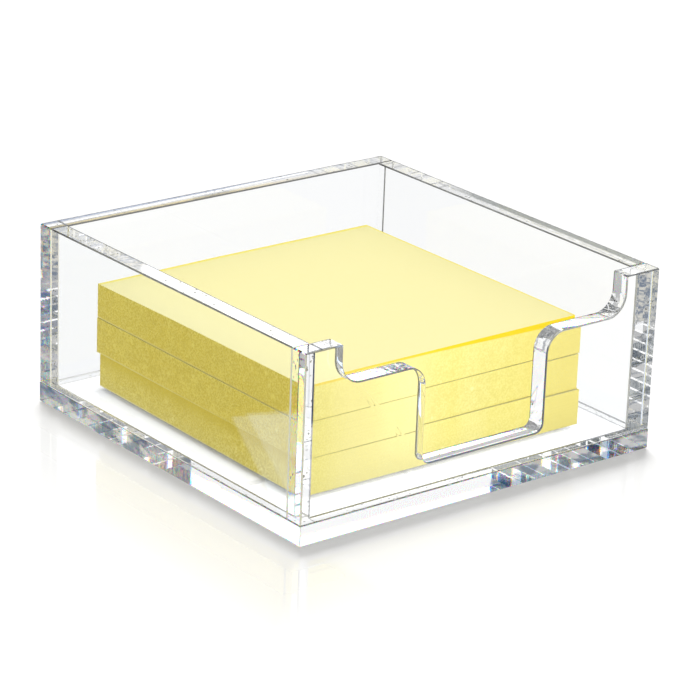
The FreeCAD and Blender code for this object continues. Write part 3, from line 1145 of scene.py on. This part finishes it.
def seen_floor(tree, x, y, outside, way_here):
    """The floor that is seen through the acrylic: shaded near the pads, open and even behind them."""
    under = ramp(tree, outside, UNDER_EDGE, -UNDER_EDGE, THROUGH_WHITE, UNDER_WHITE)
    white = product(tree, under, way_here["seen"])
    shaded = node(tree, "ShaderNodeBsdfDiffuse", {"Color": white}).outputs[0]
    even = glowing(tree, WHITE, product(tree, white, OPEN_FLOOR))
    behind = larger(tree, less(tree, x, PAD_RIGHT), less(tree, y, PAD_REAR))
    return mix_shader(tree, ramp(tree, behind, *OPEN_FROM), shaded, even)


def floor_of_led_light(tree, x, y, outside):
    """What led light meets on the floor: two glowing mottled patches painted there, which the corner strips
    show as painted reflections. Elsewhere it goes on to the backdrop below, which is dimmed off the tray's
    outline."""
    away = above(tree, outside, 0.0)
    dim = mix_colour(tree, away, WHITE, grey(1.0 / BELOW_BACKDROP))
    clear = node(tree, "ShaderNodeBsdfTransparent", {"Color": dim}).outputs[0]
    under_corner = product(tree, ramp(tree, less(tree, y, x), *UNDER_START), below(tree, outside, 0.0))
    long_fall = above(tree, path(tree, "Ray Length"), BASE_FALL)
    beyond_corner = product(tree, ramp(tree, smaller(tree, x, y), *BEYOND_START), away, long_fall)
    for mask, size, tones in ((under_corner, UNDER_MOTTLE, UNDER_CORNER),
                              (beyond_corner, BEYOND_MOTTLE, BEYOND_CORNER)):
        pattern = noise(tree, object_place(tree), size, 3.0)
        clear = mix_shader(tree, mask, clear, glowing(tree, mottled(tree, pattern, MOTTLE_LIMITS, tones)))
    return clear


def inner_floor_material():
    """The floor as light inside or behind the acrylic meets it."""
    material = new_material("white_floor_through_acrylic")
    tree = material.node_tree
    x, y, outside = footprint(tree)
    way_here = light_path(tree)
    # what the outer faces mirror, with the painted glowing patch for the left wall's reflection
    mirror = ramp(tree, x, *MIRROR_TURN, *MIRROR_GLOW)
    mirror = mix_colour(tree, painted_veil_corner(tree, x, y), mirror, VEIL_GLOW)
    # bounce on to the paper
    bounce = mix_colour(tree, ramp(tree, x, *BOUNCE_TURN), LEFT_LIGHT, FLOOR_BOUNCE)
    bounce_gain = maths(tree, "MULTIPLY_ADD", way_here["inside"], WALLED_FRONT_GAIN, 1.0)
    shader = seen_floor(tree, x, y, outside, way_here)
    for mask, other in (("mirrored", glowing(tree, mirror)),
                        ("guided", floor_of_led_light(tree, x, y, outside)),
                        ("scattered", glowing(tree, bounce, bounce_gain))):
        shader = mix_shader(tree, way_here[mask], shader, other)
    put_out(tree, shader)
    return material


def make_floors():
    """Two floors a hair apart: one for the camera, one for light that comes through the acrylic."""
    direct = floor_plane("floor", FLOOR_LEVEL, direct_floor_material())
    through = floor_plane("floor_through_acrylic", THROUGH_LEVEL, inner_floor_material())
    direct.visible_glossy = False
    direct.visible_transmission = False
    direct.visible_diffuse = False
    direct.visible_shadow = False
    through.visible_camera = False
    through.visible_shadow = False
    return direct, through


def floor_lamp(name, yaw, lean, softness, strength, floor, blockers):
    """A soft sun that leans from behind (or, below zero, from before) and lights one floor only, with the
    shadow of the named pieces."""
    data = bpy.data.lights.new(name, "SUN")
    data.angle = math.radians(softness)
    data.energy = strength
    lamp = bpy.data.objects.new(name, data)
    bpy.context.scene.collection.objects.link(lamp)
    turn = Matrix.Rotation(math.radians(yaw), 4, "Z") @ Matrix.Rotation(math.radians(-lean), 4, "X")
    lamp.matrix_world = turn
    for use, members in (("receiver", [floor]), ("blocker", blockers)):
        group = bpy.data.collections.new(name + "_" + use)
        for member in members:
            group.objects.link(member)
        setattr(lamp.light_linking, use + "_collection", group)
    lamp.visible_glossy = False
    lamp.visible_transmission = False
    return lamp


def make_camera():
    data = bpy.data.cameras.new("camera")
    data.lens = LENS
    data.sensor_width = SENSOR
    data.clip_start = 0.01
    data.clip_end = 50.0
    camera = bpy.data.objects.new("camera", data)
    bpy.context.scene.collection.objects.link(camera)
    turn = Matrix.Rotation(math.radians(-CAMERA_YAW), 4, "Z")
    turn = turn @ Matrix.Rotation(math.radians(90 + CAMERA_PITCH), 4, "X")
    turn = turn @ Matrix.Rotation(math.radians(CAMERA_ROLL), 4, "Z")
    camera.matrix_world = Matrix.Translation(CAMERA_AT) @ turn
    bpy.context.scene.camera = camera


def set_light_paths():
    scene = bpy.context.scene
    scene.view_settings.view_transform = "Standard"
    scene.cycles.max_bounces = BOUNCES
    scene.cycles.glossy_bounces = BOUNCES
    scene.cycles.transmission_bounces = BOUNCES
    scene.cycles.transparent_max_bounces = BOUNCES


deselect()
make_camera()
make_world()
spots = spots_group()
tray = make_tray(spots)
pads = make_pads(spots)
direct_floor, inner_floor = make_floors()
floor_lamp("shadow_lamp", *BASE_LAMP, direct_floor, tray[:1])
floor_lamp("inner_shadow_lamp", *PAD_LAMP, inner_floor, pads)
set_light_paths()
